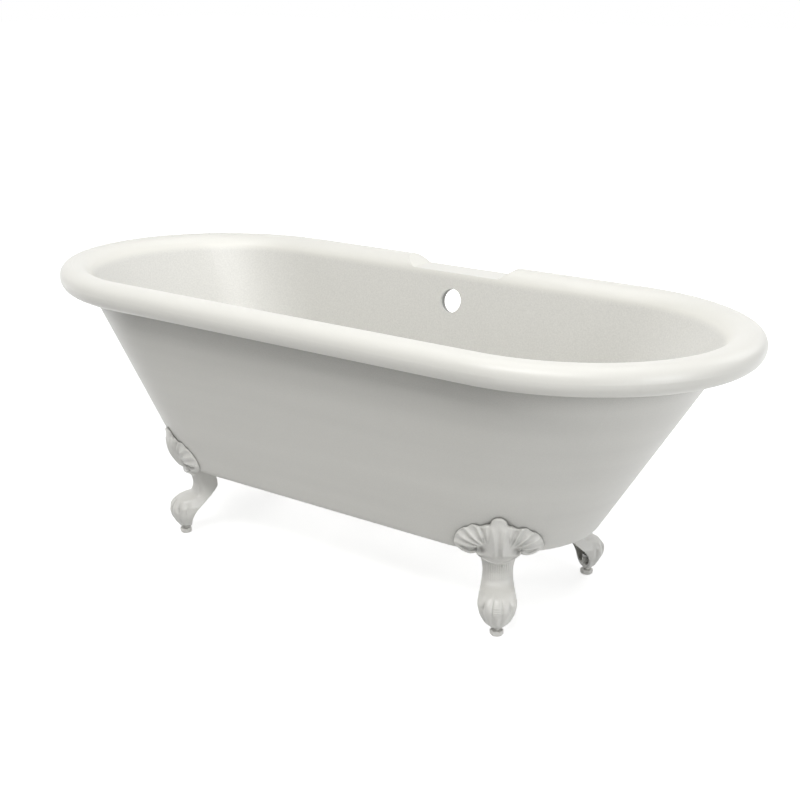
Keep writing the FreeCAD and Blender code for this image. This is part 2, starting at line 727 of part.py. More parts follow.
GRIP = "Sheet.washer_thick + Sheet.lug_thick + Sheet.outer_skin"
BOLT_LENGTH = "Sheet.bolt_head_thick + %s + Sheet.insert_length - Sheet.bolt_tip_gap" % GRIP
bolt_parts = bolt_cylinders("bolt_shank", "Sheet.bolt_radius", BOLT_LENGTH, HEAD_LOW)
for index, sign in enumerate(("-", ""), start=1):
    place = foot_point("-Sheet.bolt_in", sign + "Sheet.bolt_spread", HEAD_LOW)
    bolt_parts.append(hex_prism("bolt_hex_%d" % index, "Sheet.bolt_head", "Sheet.bolt_head_thick", place))
bolts = fuse("front_right_foot_bolts", bolt_parts)

insert_blanks = bolt_cylinders("insert_blank", "Sheet.insert_radius", "Sheet.insert_length", BOARD_LOW)
INSERT_BORE = "Sheet.bolt_radius + Sheet.thread_gap"
INSERT_DRILL = "Sheet.insert_length + 2 * Sheet.drill_over"
insert_bores = bolt_cylinders("insert_bore", INSERT_BORE, INSERT_DRILL, DRILL_LOW)
insert_pair = fuse("insert_pair", insert_blanks)
inserts = cut("front_right_foot_inserts", insert_pair, fuse("insert_pair_bores", insert_bores))

doc.recompute()

nodes = {
    "inner_tub": inner_tub,
    "outer_skin": outer_skin,
    "base_board": base_board,
    "overflow_spacer": overflow_spacer,
}
corner_pieces = {
    "foot": foot,
    "leveller": leveller,
    "lock_nut": lock_nut,
    "foot_bolts": bolts,
    "foot_washers": washers,
    "foot_inserts": inserts,
}
for piece, source in corner_pieces.items():
    for corner, item in four_corners(piece, source).items():
        nodes["%s_%s" % (corner, piece)] = item
doc.recompute()

for item in doc.Objects:
    if "Invalid" in item.State or "Error" in item.State:
        raise RuntimeError("not built: " + item.Name)
os.makedirs("parts", exist_ok=True)
for name, item in nodes.items():
    item.Label = name
    shape = item.Shape
    if shape.isNull() or not shape.isValid() or shape.Volume <= 0:
        raise RuntimeError("bad shape: " + name)
    shape.exportStep("parts/%s.step" % name)
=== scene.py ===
import math
from collections import namedtuple

import bmesh
import bpy
import numpy as np
from mathutils import Matrix, Vector


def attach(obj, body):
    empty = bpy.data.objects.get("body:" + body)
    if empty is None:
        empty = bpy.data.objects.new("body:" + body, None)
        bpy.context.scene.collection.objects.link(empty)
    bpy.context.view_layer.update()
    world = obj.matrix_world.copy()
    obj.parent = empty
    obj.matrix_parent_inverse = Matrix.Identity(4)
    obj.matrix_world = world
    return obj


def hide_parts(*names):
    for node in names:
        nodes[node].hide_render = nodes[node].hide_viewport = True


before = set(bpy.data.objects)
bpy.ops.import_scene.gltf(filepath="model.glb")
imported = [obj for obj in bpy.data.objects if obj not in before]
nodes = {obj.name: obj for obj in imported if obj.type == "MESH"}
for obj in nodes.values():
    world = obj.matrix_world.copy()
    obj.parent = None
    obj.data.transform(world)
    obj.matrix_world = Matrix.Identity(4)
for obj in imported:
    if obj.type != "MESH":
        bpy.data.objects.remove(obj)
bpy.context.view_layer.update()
scene = bpy.context.scene

# Each corner's side along the bath and across it.
CORNERS = {"front_left": (-1, -1), "front_right": (1, -1), "rear_left": (-1, 1), "rear_right": (1, 1)}

# The photo's camera, in metres and radians. The focal length is in the photo's pixels.
CAMERA_PLACE = (1.73756, -2.23864, 1.25235)
CAMERA_YAW, CAMERA_PITCH = -0.64328, -0.30491
FOCAL_PIXELS, FRAME_PIXELS = 1352.38, 800
SENSOR_WIDTH = 36
VIEW_END = 60

# Lamps and floor.
WHITE, WARM, COOL = (1, 1, 1), (1, 0.995, 0.98), (0.98, 0.99, 1)
BATH_MIDDLE = (0, 0, 0.5)
FLOOR_HALF, FLOOR_DROP = 30, 0.0005

# Finishes.
NOISE_RANGE = (0.1, 0.9)
GLOSS_PER_TONE = 4
COAT_ROUGHNESS = 0.12
CREASE_SAMPLES = 8
BOWL_EDGE_BLUR = 0.004


def add_camera():
    """The camera at the photo's place."""
    level = math.cos(CAMERA_PITCH)
    ahead = Vector((math.sin(CAMERA_YAW) * level, math.cos(CAMERA_YAW) * level, math.sin(CAMERA_PITCH)))
    right = Vector((math.cos(CAMERA_YAW), -math.sin(CAMERA_YAW), 0))
    up = right.cross(ahead)
    data = bpy.data.cameras.new("photo_camera")
    data.sensor_width = SENSOR_WIDTH
    data.lens = FOCAL_PIXELS * SENSOR_WIDTH / FRAME_PIXELS
    data.clip_end = VIEW_END
    camera = bpy.data.objects.new("photo_camera", data)
    turn = Matrix((right, up, -ahead)).transposed().to_4x4()
    camera.matrix_world = Matrix.Translation(Vector(CAMERA_PLACE)) @ turn
    scene.collection.objects.link(camera)
    scene.camera = camera


def area_light(name, location, target, size, power, colour=WHITE, mirrored=True):
    """A soft lamp. mirrored says whether it shows in reflections."""
    data = bpy.data.lights.new(name, "AREA")
    data.shape = "RECTANGLE"
    data.size, data.size_y = size
    data.energy = power
    data.color = colour
    lamp = bpy.data.objects.new(name, data)
    lamp.location = location
    lamp.visible_glossy = mirrored
    lamp.rotation_euler = (Vector(target) - Vector(location)).to_track_quat("-Z", "Y").to_euler()
    scene.collection.objects.link(lamp)


# Short names for shader nodes. A value is a socket to link, or a number or vector to set.
def feed(tree, value, socket):
    if isinstance(value, bpy.types.NodeSocket):
        tree.links.new(value, socket)
    else:
        socket.default_value = value


def math_node(tree, operation, first, second=0):
    node = tree.nodes.new("ShaderNodeMath")
    node.operation = operation
    feed(tree, first, node.inputs[0])
    feed(tree, second, node.inputs[1])
    return node.outputs[0]


def vector_node(tree, operation, vector):
    node = tree.nodes.new("ShaderNodeVectorMath")
    node.operation = operation
    feed(tree, vector, node.inputs[0])
    return node


def map_range(tree, value, before=(0, 1), after=(0, 1), smooth=False):
    node = tree.nodes.new("ShaderNodeMapRange")
    if smooth:
        node.interpolation_type = "SMOOTHSTEP"
    node.inputs["From Min"].default_value, node.inputs["From Max"].default_value = before
    node.inputs["To Min"].default_value, node.inputs["To Max"].default_value = after
    feed(tree, value, node.inputs["Value"])
    return node.outputs["Result"]


def mix(tree, share, low, high, kind="FLOAT"):
    node = tree.nodes.new("ShaderNodeMix")
    node.data_type = kind
    feed(tree, share, node.inputs["Factor"])
    feed(tree, low, node.inputs["A"])
    feed(tree, high, node.inputs["B"])
    return node.outputs["Result"]


def object_place(tree):
    return tree.nodes.new("ShaderNodeTexCoord").outputs["Object"]


def noise(tree, place, scale, detail):
    node = tree.nodes.new("ShaderNodeTexNoise")
    node.inputs["Scale"].default_value = scale
    node.inputs["Detail"].default_value = detail
    feed(tree, place, node.inputs["Vector"])
    return node.outputs["Fac"]


def varied(tree, place, scale, detail, low, high):
    """A number that wanders between low and high over the surface."""
    return map_range(tree, noise(tree, place, scale, detail), NOISE_RANGE, (low, high))


def seen_directly(tree):
    """A socket that is 1 for camera, glossy and transmission rays."""
    path = tree.nodes.new("ShaderNodeLightPath")
    first = math_node(tree, "MAXIMUM", path.outputs["Is Camera Ray"], path.outputs["Is Transmission Ray"])
    return math_node(tree, "MAXIMUM", first, path.outputs["Is Glossy Ray"])


def add_world(level):
    """A soft even dome that shows as plain white."""
    world = bpy.data.worlds.new("studio")
    world.use_nodes = True
    tree = world.node_tree
    back = tree.nodes["Background"]
    back.inputs["Color"].default_value = (1, 1, 1, 1)
    feed(tree, map_range(tree, seen_directly(tree), after=(level, 1)), back.inputs["Strength"])
    scene.world = world


def grey_diffuse(tree, level):
    node = tree.nodes.new("ShaderNodeBsdfDiffuse")
    node.inputs["Color"].default_value = (level, level, level, 1)
    return node.outputs[0]


def floor_material(bounce, shadow, glow, near, far):
    """Bounces plain light, but shows pale with a shadow near the bath and white away from it."""
    mat = bpy.data.materials.new("floor")
    mat.use_nodes = True
    tree = mat.node_tree
    tree.nodes.clear()
    out = tree.nodes.new("ShaderNodeOutputMaterial")
    away = vector_node(tree, "LENGTH", object_place(tree)).outputs["Value"]
    white = tree.nodes.new("ShaderNodeEmission")
    feed(tree, map_range(tree, away, (near, far), (glow, 1), smooth=True), white.inputs["Strength"])
    shown = tree.nodes.new("ShaderNodeAddShader")
    feed(tree, white.outputs[0], shown.inputs[0])
    feed(tree, grey_diffuse(tree, shadow), shown.inputs[1])
    pick = tree.nodes.new("ShaderNodeMixShader")
    feed(tree, seen_directly(tree), pick.inputs["Fac"])
    feed(tree, grey_diffuse(tree, bounce), pick.inputs[1])
    feed(tree, shown.outputs[0], pick.inputs[2])
    feed(tree, pick.outputs[0], out.inputs["Surface"])
    return mat


def add_floor(mat):
    mesh = bpy.data.meshes.new("floor")
    half = FLOOR_HALF
    corners = [(-half, -half, 0), (half, -half, 0), (half, half, 0), (-half, half, 0)]
    mesh.from_pydata(corners, [], [(0, 1, 2, 3)])
    mesh.materials.append(mat)
    floor = bpy.data.objects.new("floor", mesh)
    floor.location.z = -FLOOR_DROP
    scene.collection.objects.link(floor)


# Painted shade: sheltered places go darker in the colour, by how much, within what distance, and at what
# openness in full.
PaintedShade = namedtuple("PaintedShade", "depth distance full_at")
# The bowl's darker colour, which is painted shade inside the bath, and its own grain, the heights between
# which it passes into the rim, and the half length and end radius of the rim's middle line, which it keeps
# inside.
BowlShade = namedtuple("BowlShade", "colour grain low high straight radius")


def painted_shade_factor(tree, painted_shade):
    """Painted shade: a colour factor that falls in sheltered places, found by ambient occlusion."""
    shade_occlusion = tree.nodes.new("ShaderNodeAmbientOcclusion")
    shade_occlusion.samples = CREASE_SAMPLES
    shade_occlusion.inputs["Distance"].default_value = painted_shade.distance
    return map_range(tree, shade_occlusion.outputs["AO"], (painted_shade.full_at, 1), (1 - painted_shade.depth, 1))


def rim_share(tree, place, bowl_shade):
    """1 on the rim, above the bowl or outside the rim's middle line, and 0 in the bowl, which takes the
    painted shade and its own grain.
    """
    parts = tree.nodes.new("ShaderNodeSeparateXYZ")
    feed(tree, place, parts.inputs[0])
    above = map_range(tree, parts.outputs["Z"], (bowl_shade.low, bowl_shade.high), smooth=True)
    along = math_node(tree, "ABSOLUTE", parts.outputs["X"])
    past_straight = math_node(tree, "SUBTRACT", along, bowl_shade.straight)
    level_place = tree.nodes.new("ShaderNodeCombineXYZ")
    feed(tree, math_node(tree, "MAXIMUM", past_straight, 0), level_place.inputs["X"])
    feed(tree, parts.outputs["Y"], level_place.inputs["Y"])
    reach = vector_node(tree, "LENGTH", level_place.outputs[0]).outputs["Value"]
    outside = map_range(tree, reach, (bowl_shade.radius - BOWL_EDGE_BLUR, bowl_shade.radius + BOWL_EDGE_BLUR))
    return math_node(tree, "MAXIMUM", above, outside)


def material(name, colour, roughness, rough_change, bump, bump_scale=120, tone=0.1, tone_scale=3,
             tone_stretch=(1, 1, 1), grain=0.05, grain_scale=900, metallic=0, coat=0,
             painted_shade=None, bowl_shade=None):
    """A procedural finish: slow tone drift, fine grain, a faint bump and a change in gloss, with painted
    shade in sheltered places and in the bowl where asked.
    """
    mat = bpy.data.materials.new(name)
    mat.use_nodes = True
    tree = mat.node_tree
    shader = tree.nodes["Principled BSDF"]
    shader.inputs["Metallic"].default_value = metallic
    shader.inputs["Coat Weight"].default_value = coat
    shader.inputs["Coat Roughness"].default_value = COAT_ROUGHNESS
    place = object_place(tree)
    stretched = vector_node(tree, "MULTIPLY", place)
    stretched.inputs[1].default_value = tone_stretch
    shade = varied(tree, stretched.outputs[0], tone_scale, 1, 1 - tone, 1)
    speckle = varied(tree, place, grain_scale, 1, 1 - grain, 1 + grain)
    # Painted shade: the colour darkens where ambient occlusion finds shelter.
    if painted_shade:
        shade = math_node(tree, "MULTIPLY", shade, painted_shade_factor(tree, painted_shade))
    # Painted shade: the bowl takes a darker colour than the rim; its grain is its own.
    if bowl_shade:
        share = rim_share(tree, place, bowl_shade)
        bowl_speckle = varied(tree, place, grain_scale, 2, 1 - bowl_shade.grain, 1 + bowl_shade.grain)
        speckle = mix(tree, share, bowl_speckle, speckle)
        colour = mix(tree, share, bowl_shade.colour, colour, "VECTOR")
    scaled = vector_node(tree, "SCALE", colour)
    feed(tree, math_node(tree, "MULTIPLY", shade, speckle), scaled.inputs["Scale"])
    feed(tree, scaled.outputs[0], shader.inputs["Base Color"])
    gloss_scale = tone_scale * GLOSS_PER_TONE
    gloss = varied(tree, place, gloss_scale, 1, roughness - rough_change, roughness + rough_change)
    feed(tree, gloss, shader.inputs["Roughness"])
    relief = tree.nodes.new("ShaderNodeBump")
    relief.inputs["Strength"].default_value = 1
    relief.inputs["Distance"].default_value = bump
    feed(tree, noise(tree, place, bump_scale, 3), relief.inputs["Height"])
    feed(tree, relief.outputs["Normal"], shader.inputs["Normal"])
    return mat


def dress(node, mat):
    mesh = nodes[node].data
    mesh.materials.clear()
    mesh.materials.append(mat)


# Foot castings. Foot frame in millimetres: u outward, v sideways, z up, the leveller's axis at u = v = 0.
FOOT_ALONG, FOOT_ACROSS, FOOT_TURN = 435.0, 181.0, math.radians(57)
SOLE, SEAT = 15.5, 170.0
FOOT_WALL = 5.5
HOLLOW_FLOOR = 26.0
STEM_HOLE = 6.4
BOSS_RADIUS, BOSS_SINK, BOSS_TOP = 11.0, 3.0, 38.5

# The leg's D section by height: front, back, half width, and depth of the rounded front.
LEG_Z = (15.5, 18, 25, 37, 50, 60, 68, 76, 84, 90, 94, 99, 108, 120, 132, 146, 158, 170)
LEG_FRONT = (8.5, 13, 17.5, 24, 31, 33.5, 32, 28, 21.5, 10, -7, -16, -21, -23, -21, -17, -14, -12)
LEG_BACK = (-8.5, -10, -10.5, -10.5, -14, -20, -27, -36, -45,
            -51, -56, -60, -68, -73.5, -72.5, -67, -62, -58)
LEG_HALF = (8.5, 13, 22.5, 31, 36.5, 38.3, 38.3, 36.5, 34.5,
            33.2, 32.3, 31.6, 30.8, 30.5, 31.5, 33.5, 36, 38)
LEG_DEPTH = (8.5, 13, 20, 28, 34, 36, 36, 34, 31, 28, 26, 24, 22, 20, 18, 15, 12, 10)
LEAST_DEPTH = 3
ARC = np.radians(np.linspace(-90, 90, 131))
RUN = np.linspace(1, 0, 16)[:-1]
SOLE_ROWS, LEG_ROWS = 10, 132
FLOOR_STEP, SEAT_GAP = 1.5, 0.4
BACK_COUNT = 10
WELD_DISTANCE = 1e-6

# The bath's outer wall: half length, half width and end length at its base and at its top.
WALL_BASE, WALL_RUN = 170.0, 390.0
WALL_AT_BASE, WALL_AT_TOP = (530.5, 207.8, 216.6), (774.5, 298, 318)
END_SPREAD = 1.7071068
WALL_CLEAR = 0.6
SEARCH_REACH, SEARCH_STEPS = 160.0, 40

# The paw's carving, by bearing in degrees about a point behind the leveller's axis. A ridge has its place,
# height and width, and a bump has its place and width up the leg too. A span is the four heights where a
# feature starts, is full, begins to fade and ends. A reach is the two places where it fades sideways.
PAW_CENTRE = 6
PAW_SPAN, PAW_REACH = (17, 30, 84, 97), (112, 130)
TOES = ((0, 1.3, 12), (31, 1.7, 12), (63, 1.5, 13), (95, 1.2, 12))
KNUCKLES = ((31, 1.5, 11, 72, 8), (63, 1.6, 11, 70, 8))
CREASES = ((46, 3.4, 5.5, 66, 9), (79, 2.4, 6, 62, 11), (46, 1.2, 4, 42, 14))
TOE_LINE, TOE_LINE_SPAN = (15.5, 2.0, 3.0), (48, 56, 82, 92)
NAIL, NAIL_SIDE, NAIL_SPAN = (0, 1.5, 6), (15, 1.3, 6), (20, 32, 46, 54)
WRINKLE_HEIGHT, WRINKLE_PITCH = 0.5, 4.6
WRINKLE_SPAN, WRINKLE_REACH = (55, 58, 70, 73), (8, 13)

# The shin's flutes and nub, and the collar where the leaf's hem lies on it.
FLUTE_HEIGHT, FLUTE_PITCH = 0.32, 4.4
FLUTE_SPAN, FLUTE_REACH = (100, 108, 138, 148), (22, 30)
NUB_V, NUB_Z, NUB_HEIGHT, NUB_REACH = 9, 138, 2.0, (0.8, 3.2)
COLLAR_LOW, COLLAR_RISE, COLLAR_HALF, COLLAR_POWER = 150, 18.5, 38, 1.9
COLLAR_SWELL, COLLAR_FRONT_SWELL, COLLAR_RUN = 4.5, 7.5, (-11, 1.5)
HEM = (0.5, 1.9, 1.7)


def smooth_table(x, xs, ys):
    """Monotone cubic through a short table."""
    xs, ys = np.asarray(xs, float), np.asarray(ys, float)
    gap = np.diff(xs)
    rise = np.diff(ys) / gap
    slope = np.zeros_like(ys)
    same = rise[:-1] * rise[1:] > 0
    slope[1:-1][same] = 2 * rise[:-1][same] * rise[1:][same] / (rise[:-1][same] + rise[1:][same])
    slope[0], slope[-1] = rise[0], rise[-1]
    x = np.clip(np.asarray(x, float), xs[0], xs[-1])
    i = np.clip(np.searchsorted(xs, x) - 1, 0, len(gap) - 1)
    t = (x - xs[i]) / gap[i]
    start = (2 * t**3 - 3 * t**2 + 1) * ys[i] + (t**3 - 2 * t**2 + t) * slope[i] * gap[i]
    end = (3 * t**2 - 2 * t**3) * ys[i + 1] + (t**3 - t**2) * slope[i + 1] * gap[i]
    return start + end


def ease(x, low, high):
    """0 up to low, 1 from high, and smooth between."""
    t = np.clip((x - low) / (high - low), 0, 1)
    return t * t * (3 - 2 * t)


def band(x, start, full, leave, end):
    """1 from full to leave, 0 before start and after end."""
    return ease(x, start, full) * (1 - ease(x, leave, end))


def hump(x, centre, width):
    return np.exp(-(((x - centre) / width) ** 2))


def ridge(x, shape):
    """A long hump: its place, height and width."""
    centre, height, width = shape
    return height * hump(x, centre, width)


def bumps(x, z, shapes):
    """The sum of round humps: each one's place, height and width, and its place and width up the leg."""
    return sum(height * hump(x, centre, width) * hump(z, level, tall)
               for centre, height, width, level, tall in shapes)


def to_world(points):
    """Foot frame to the bath's frame, at the front right corner."""
    u, v, z = points.T
    x = FOOT_ALONG + u * math.cos(FOOT_TURN) + v * math.sin(FOOT_TURN)
    y = -FOOT_ACROSS - u * math.sin(FOOT_TURN) + v * math.cos(FOOT_TURN)
    return np.stack((x, y, z), axis=1)


def wall_distance(x, y, z):
    """Level distance from the bath's outer wall, positive outside."""
    share = (z - WALL_BASE) / WALL_RUN
    length, width, end = (low + (high - low) * share for low, high in zip(WALL_AT_BASE, WALL_AT_TOP))
    spread = (end - width) * END_SPREAD
    tip, side = end - spread, width + spread
    ax, ay = np.abs(x), np.abs(y)
    straight = ay - width
    tip_arc = np.hypot(ax - (length - tip), ay) - tip
    side_arc = np.hypot(ax - (length - end), ay - (width - side)) - side
    ahead = ax - (length - tip)
    return np.where(ax <= length - end, straight, np.where(ay <= ahead, tip_arc, side_arc))


def wall_front(v, z):
    """The bath wall's outward place u at the foot, at a side place v and height z."""
    low, high = np.full(np.shape(v), -SEARCH_REACH), np.full(np.shape(v), SEARCH_REACH)
    for _ in range(SEARCH_STEPS):
        middle = (low + high) / 2
        points = to_world(np.stack((middle, v, z), axis=-1).reshape(-1, 3)).T
        outside = wall_distance(*points).reshape(np.shape(v)) > 0
        low, high = np.where(outside, low, middle), np.where(outside, middle, high)
    return high


def grid_faces(rows, columns, start=0, closed=True):
    faces = []
    for i in range(rows - 1):
        for j in range(columns if closed else columns - 1):
            k = (j + 1) % columns
            faces.append((start + i * columns + j, start + i * columns + k,
                          start + (i + 1) * columns + k, start + (i + 1) * columns + j))
    return faces


def leg_size(z, inset):
    """Front, back, half width and depth of the rounded front of the leg's D section."""
    tables = (LEG_FRONT, LEG_BACK, LEG_HALF, LEG_DEPTH)
    front, back, half, depth = (smooth_table(z, LEG_Z, table) for table in tables)
    return front - inset, back, half - inset, np.maximum(depth - inset, LEAST_DEPTH)


def leg_path(z, inset):
    """The D section's open path: one side, round the front, and back along the other side."""
    front, back, half, depth = leg_size(z, inset)
    centre = front - depth
    side_u = back + (centre - back) * (1 - RUN)
    u = np.concatenate((side_u, centre + depth * np.cos(ARC), side_u[::-1]))
    v = np.concatenate((0 * side_u - half, half * np.sin(ARC), 0 * side_u + half))
    across = np.hypot(np.cos(ARC) / depth, np.sin(ARC) / half)
    nu = np.concatenate((0 * side_u, np.cos(ARC) / depth / across, 0 * side_u))
    nv = np.concatenate((0 * side_u - 1, np.sin(ARC) / half / across, 0 * side_u + 1))
    return u, v, nu, nv


def collar_height(v):
    """The U-shaped hem where the leaf ends on the shin."""
    return COLLAR_LOW + COLLAR_RISE * (np.abs(v) / COLLAR_HALF) ** COLLAR_POWER


def carve_paw(side, z):
    """The toes, their knuckles and creases, and the nail and wrinkles of the middle toe."""
    depth = sum(ridge(side, toe) for toe in TOES) + bumps(side, z, KNUCKLES) - bumps(side, z, CREASES)
    depth -= ridge(side, TOE_LINE) * band(z, *TOE_LINE_SPAN)
    wrinkles = (1 - ease(side, *WRINKLE_REACH)) * band(z, *WRINKLE_SPAN)
    depth += WRINKLE_HEIGHT * wrinkles * np.sin(2 * np.pi * z / WRINKLE_PITCH)
    depth += (ridge(side, NAIL) - ridge(side, NAIL_SIDE)) * band(z, *NAIL_SPAN)
    return depth * band(z, *PAW_SPAN) * (1 - ease(side, *PAW_REACH))


def carve_leg(u, v, z, facing):
    """How far the carving stands out of the plain leg."""
    depth = carve_paw(np.abs(np.degrees(np.arctan2(v, u + PAW_CENTRE))), z)
    flutes = band(z, *FLUTE_SPAN) * (1 - ease(np.abs(v), *FLUTE_REACH))
    depth += FLUTE_HEIGHT * flutes * np.cos(2 * np.pi * v / FLUTE_PITCH)
    depth += NUB_HEIGHT * (1 - ease(np.hypot(v - NUB_V, z - NUB_Z), *NUB_REACH))
    over = z - collar_height(v)
    depth += (COLLAR_SWELL + COLLAR_FRONT_SWELL * facing) * ease(over, *COLLAR_RUN)
    return depth + ridge(over, HEM)


def sole_inside(outer, count):
    """The inner path below the hollow: in along the flat back, round the stem's hole, and out again."""
    back, half = outer[-1]
    run = np.linspace(1, 0, BACK_COUNT)
    ring = np.radians(np.linspace(180, -180, count - 2 * BACK_COUNT))
    way_in = np.stack((0 * run + back, half * run), axis=1)
    hole = np.stack((STEM_HOLE * np.cos(ring), STEM_HOLE * np.sin(ring)), axis=1)
    way_out = np.stack((0 * run + back, -half * run[::-1]), axis=1)
    return np.concatenate((way_in, hole, way_out))


def leg_mesh():
    """The hollow leg: a carved outside and a plain inside, open at the back above the sole."""
    sole_levels = np.linspace(SOLE, HOLLOW_FLOOR, SOLE_ROWS)
    leg_levels = np.linspace(HOLLOW_FLOOR + FLOOR_STEP, SEAT - SEAT_GAP, LEG_ROWS)
    levels = np.concatenate((sole_levels, leg_levels))
    rows = []
    for row, z in enumerate(levels):
        u, v, nu, nv = leg_path(z, 0)
        depth = carve_leg(u, v, z, nu**2)
        outer = np.stack((u + nu * depth, v + nv * depth), axis=1)
        if row < SOLE_ROWS:
            inner = sole_inside(outer, len(outer))
        else:
            u, v, _, _ = leg_path(z, FOOT_WALL)
            inner = np.stack((u, v), axis=1)[::-1]
        loop = np.concatenate((outer, inner))
        rows.append(np.column_stack((loop, np.full(len(loop), z))))
    columns = len(rows[0])
    last = (len(rows) - 1) * columns
    faces = grid_faces(len(rows), columns)
    faces.append(tuple(range(columns))[::-1])
    faces.append(tuple(range(last, last + columns)))
    return np.concatenate(rows), faces


# The leaf over the shin: its outline by distance from the middle, and its trunk by height.
LEAF_HALF, LEAF_THICK = 88.2, 6.0
CROWN_Z, CROWN_RADIUS = 245.0, 16.5
LEAF_TOP = ((16.4, 246), (20, 243.8), (24, 243.5), (30, 240.5), (37, 237.2), (44, 238.6), (51, 238.9),
            (55, 237), (60, 232.2), (64, 229.8), (68, 228.6), (73, 224.5), (78, 219.5), (82, 213.5),
            (85, 206), (87, 198), (88.2, 190))
WING_LOW = ((36, 167.4), (41, 170.2), (45, 169.5), (50, 167), (55, 165.5), (60, 166), (66, 167.7),
            (72, 170.4), (77, 173.6), (81, 176.8), (84, 180), (86.5, 184.2), (88.2, 189.8))
TRUNK_RISE = ((150, 13), (157, 11.8), (163.5, 12), (168, 14), (172.7, 16.8), (183.5, 21), (195, 23.3),
              (207, 22.4), (219, 19), (232, 13.9), (241, 9.5), (250, 7.5), (262, 6))
TRUNK_HALF = ((150, 36), (160, 36.5), (168, 31), (181, 24), (195, 22.5), (210, 25), (226, 32),
              (245, 40), (262, 44))
TRUNK_ROUND = 0.9
LEAF_COLUMNS, LEAF_ROWS, UNDER_ROWS = 281, 72, 20

# The leaf's folds spread from a point beside the trunk, one rib at each bearing in degrees.
FOLD_V, FOLD_Z = 20.0, 186.0
RIBS = (5.0, 26.0, 48.5, 67.0, 85.0)
RIB_HALF, RIB_HEIGHT, VALLEY = 5.0, 4.6, 2.2
FAN_SPAN, FOLD_RUN = (-25, 0, 92, 110), (9, 30)

# The leaf's face: how far it stands out, its swell away from the edge, and what is cut into it.
SHEET_RISE, SHEET_SWELL, SWELL_RUN = 5, 8.5, 28
SHEET_START, WING_START = (158, 172), (38, 44)
POCKETS = ((34.5, 11.5, 8.5, 181.5, 9),)
WING_ROLL, WING_GROOVE, GROOVE_REACH = (6, 2.6, 4.5), (12.5, 3.2, 2.6), (70, 80)
TIP_SLOPE, STEM_MARGIN = 1.3, 60
STEM_GROOVE, STEM_SPAN = (0, 3.6, 4.2), (158, 174, 232, 246)
STEM_RIB_HEIGHT, STEM_RIB_HALF = 2.2, 3.6
STEM_RIB_PLACE, STEM_RIB_SPREAD, SPREAD_RUN = 8.5, 4.5, (190, 245)
EDGE_ROUND, EDGE_RISE, LEAST_RISE = 4.5, 1.6, 0.5
BLEND_POWER = 6
HEM_GAP = 0.8


def look_up(x, table):
    return smooth_table(x, *zip(*table))


def leaf_top(side):
    """Height of the leaf's scalloped upper edge."""
    crown = CROWN_Z + np.sqrt(np.clip(CROWN_RADIUS**2 - side**2, 0, None))
    return np.where(side < LEAF_TOP[0][0], crown, look_up(side, LEAF_TOP))


def leaf_low(side):
    """Height of the leaf's lower edge: the hem on the shin, then the wing."""
    return np.where(side < WING_LOW[0][0], collar_height(side) + HEM_GAP, look_up(side, WING_LOW))


def leaf_folds(side, z):
    """The petals' folds, which spread from beside the trunk."""
    angle = np.degrees(np.arctan2(side - FOLD_V, z - FOLD_Z))
    reach = np.hypot(side - FOLD_V, z - FOLD_Z)
    ribs = sum(hump(angle, rib, RIB_HALF) for rib in RIBS)
    return (RIB_HEIGHT * ribs - VALLEY * band(angle, *FAN_SPAN)) * ease(reach, *FOLD_RUN)


def leaf_trunk(v, z):
    """The fluted stem in the middle of the leaf."""
    side = np.abs(v)
    ratio = np.clip(side / look_up(z, TRUNK_HALF), 0, 1)
    trunk = look_up(z, TRUNK_RISE) * np.sqrt(1 - ratio**2) ** TRUNK_ROUND
    rib_place = STEM_RIB_PLACE + STEM_RIB_SPREAD * ease(z, *SPREAD_RUN)
    stem_rib = (rib_place, STEM_RIB_HEIGHT, STEM_RIB_HALF)
    return trunk + band(z, *STEM_SPAN) * (ridge(side, stem_rib) - ridge(v, STEM_GROOVE))


def leaf_height(v, z):
    """How far the leaf's face stands out of the wall, measured level."""
    side = np.abs(v)
    above, below = leaf_top(side) - z, z - leaf_low(side)
    on_wing = ease(side, *WING_START)
    edge = np.minimum(above, TIP_SLOPE * (LEAF_HALF - side))
    edge = np.minimum(edge, below + STEM_MARGIN * (1 - on_wing))
    sheet = SHEET_RISE + SHEET_SWELL * ease(edge, 0, SWELL_RUN) + leaf_folds(side, z)
    sheet -= bumps(side, z, POCKETS)
    groove = ridge(below, WING_GROOVE) * (1 - ease(side, *GROOVE_REACH))
    sheet += on_wing * (ridge(below, WING_ROLL) - groove)
    sheet = np.maximum(sheet * ease(z, *SHEET_START), LEAST_RISE)
    trunk = np.maximum(leaf_trunk(v, z), LEAST_RISE)
    height = (sheet**BLEND_POWER + trunk**BLEND_POWER) ** (1 / BLEND_POWER)
    round_off = np.sqrt(1 - (1 - np.clip(edge / EDGE_ROUND, 0, 1)) ** 2)
    return EDGE_RISE + (height - EDGE_RISE) * round_off


def leaf_grid(columns, rows, drop):
    """Points over the leaf from its lower to its upper edge, closer together towards the edges."""
    across = LEAF_HALF * np.sin(np.linspace(-np.pi / 2, np.pi / 2, columns))
    up = np.linspace(0, 1, rows)
    up = 0.5 * up + 0.25 * (1 - np.cos(np.pi * up))
    v, share = np.meshgrid(across, up)
    low, top = leaf_low(np.abs(v)), leaf_top(np.abs(v))
    z = low + (top - low) * share
    height = np.maximum(leaf_height(v, z) - drop, WALL_CLEAR)
    return np.stack((wall_front(v, z) + height, v, z), axis=-1).reshape(-1, 3)


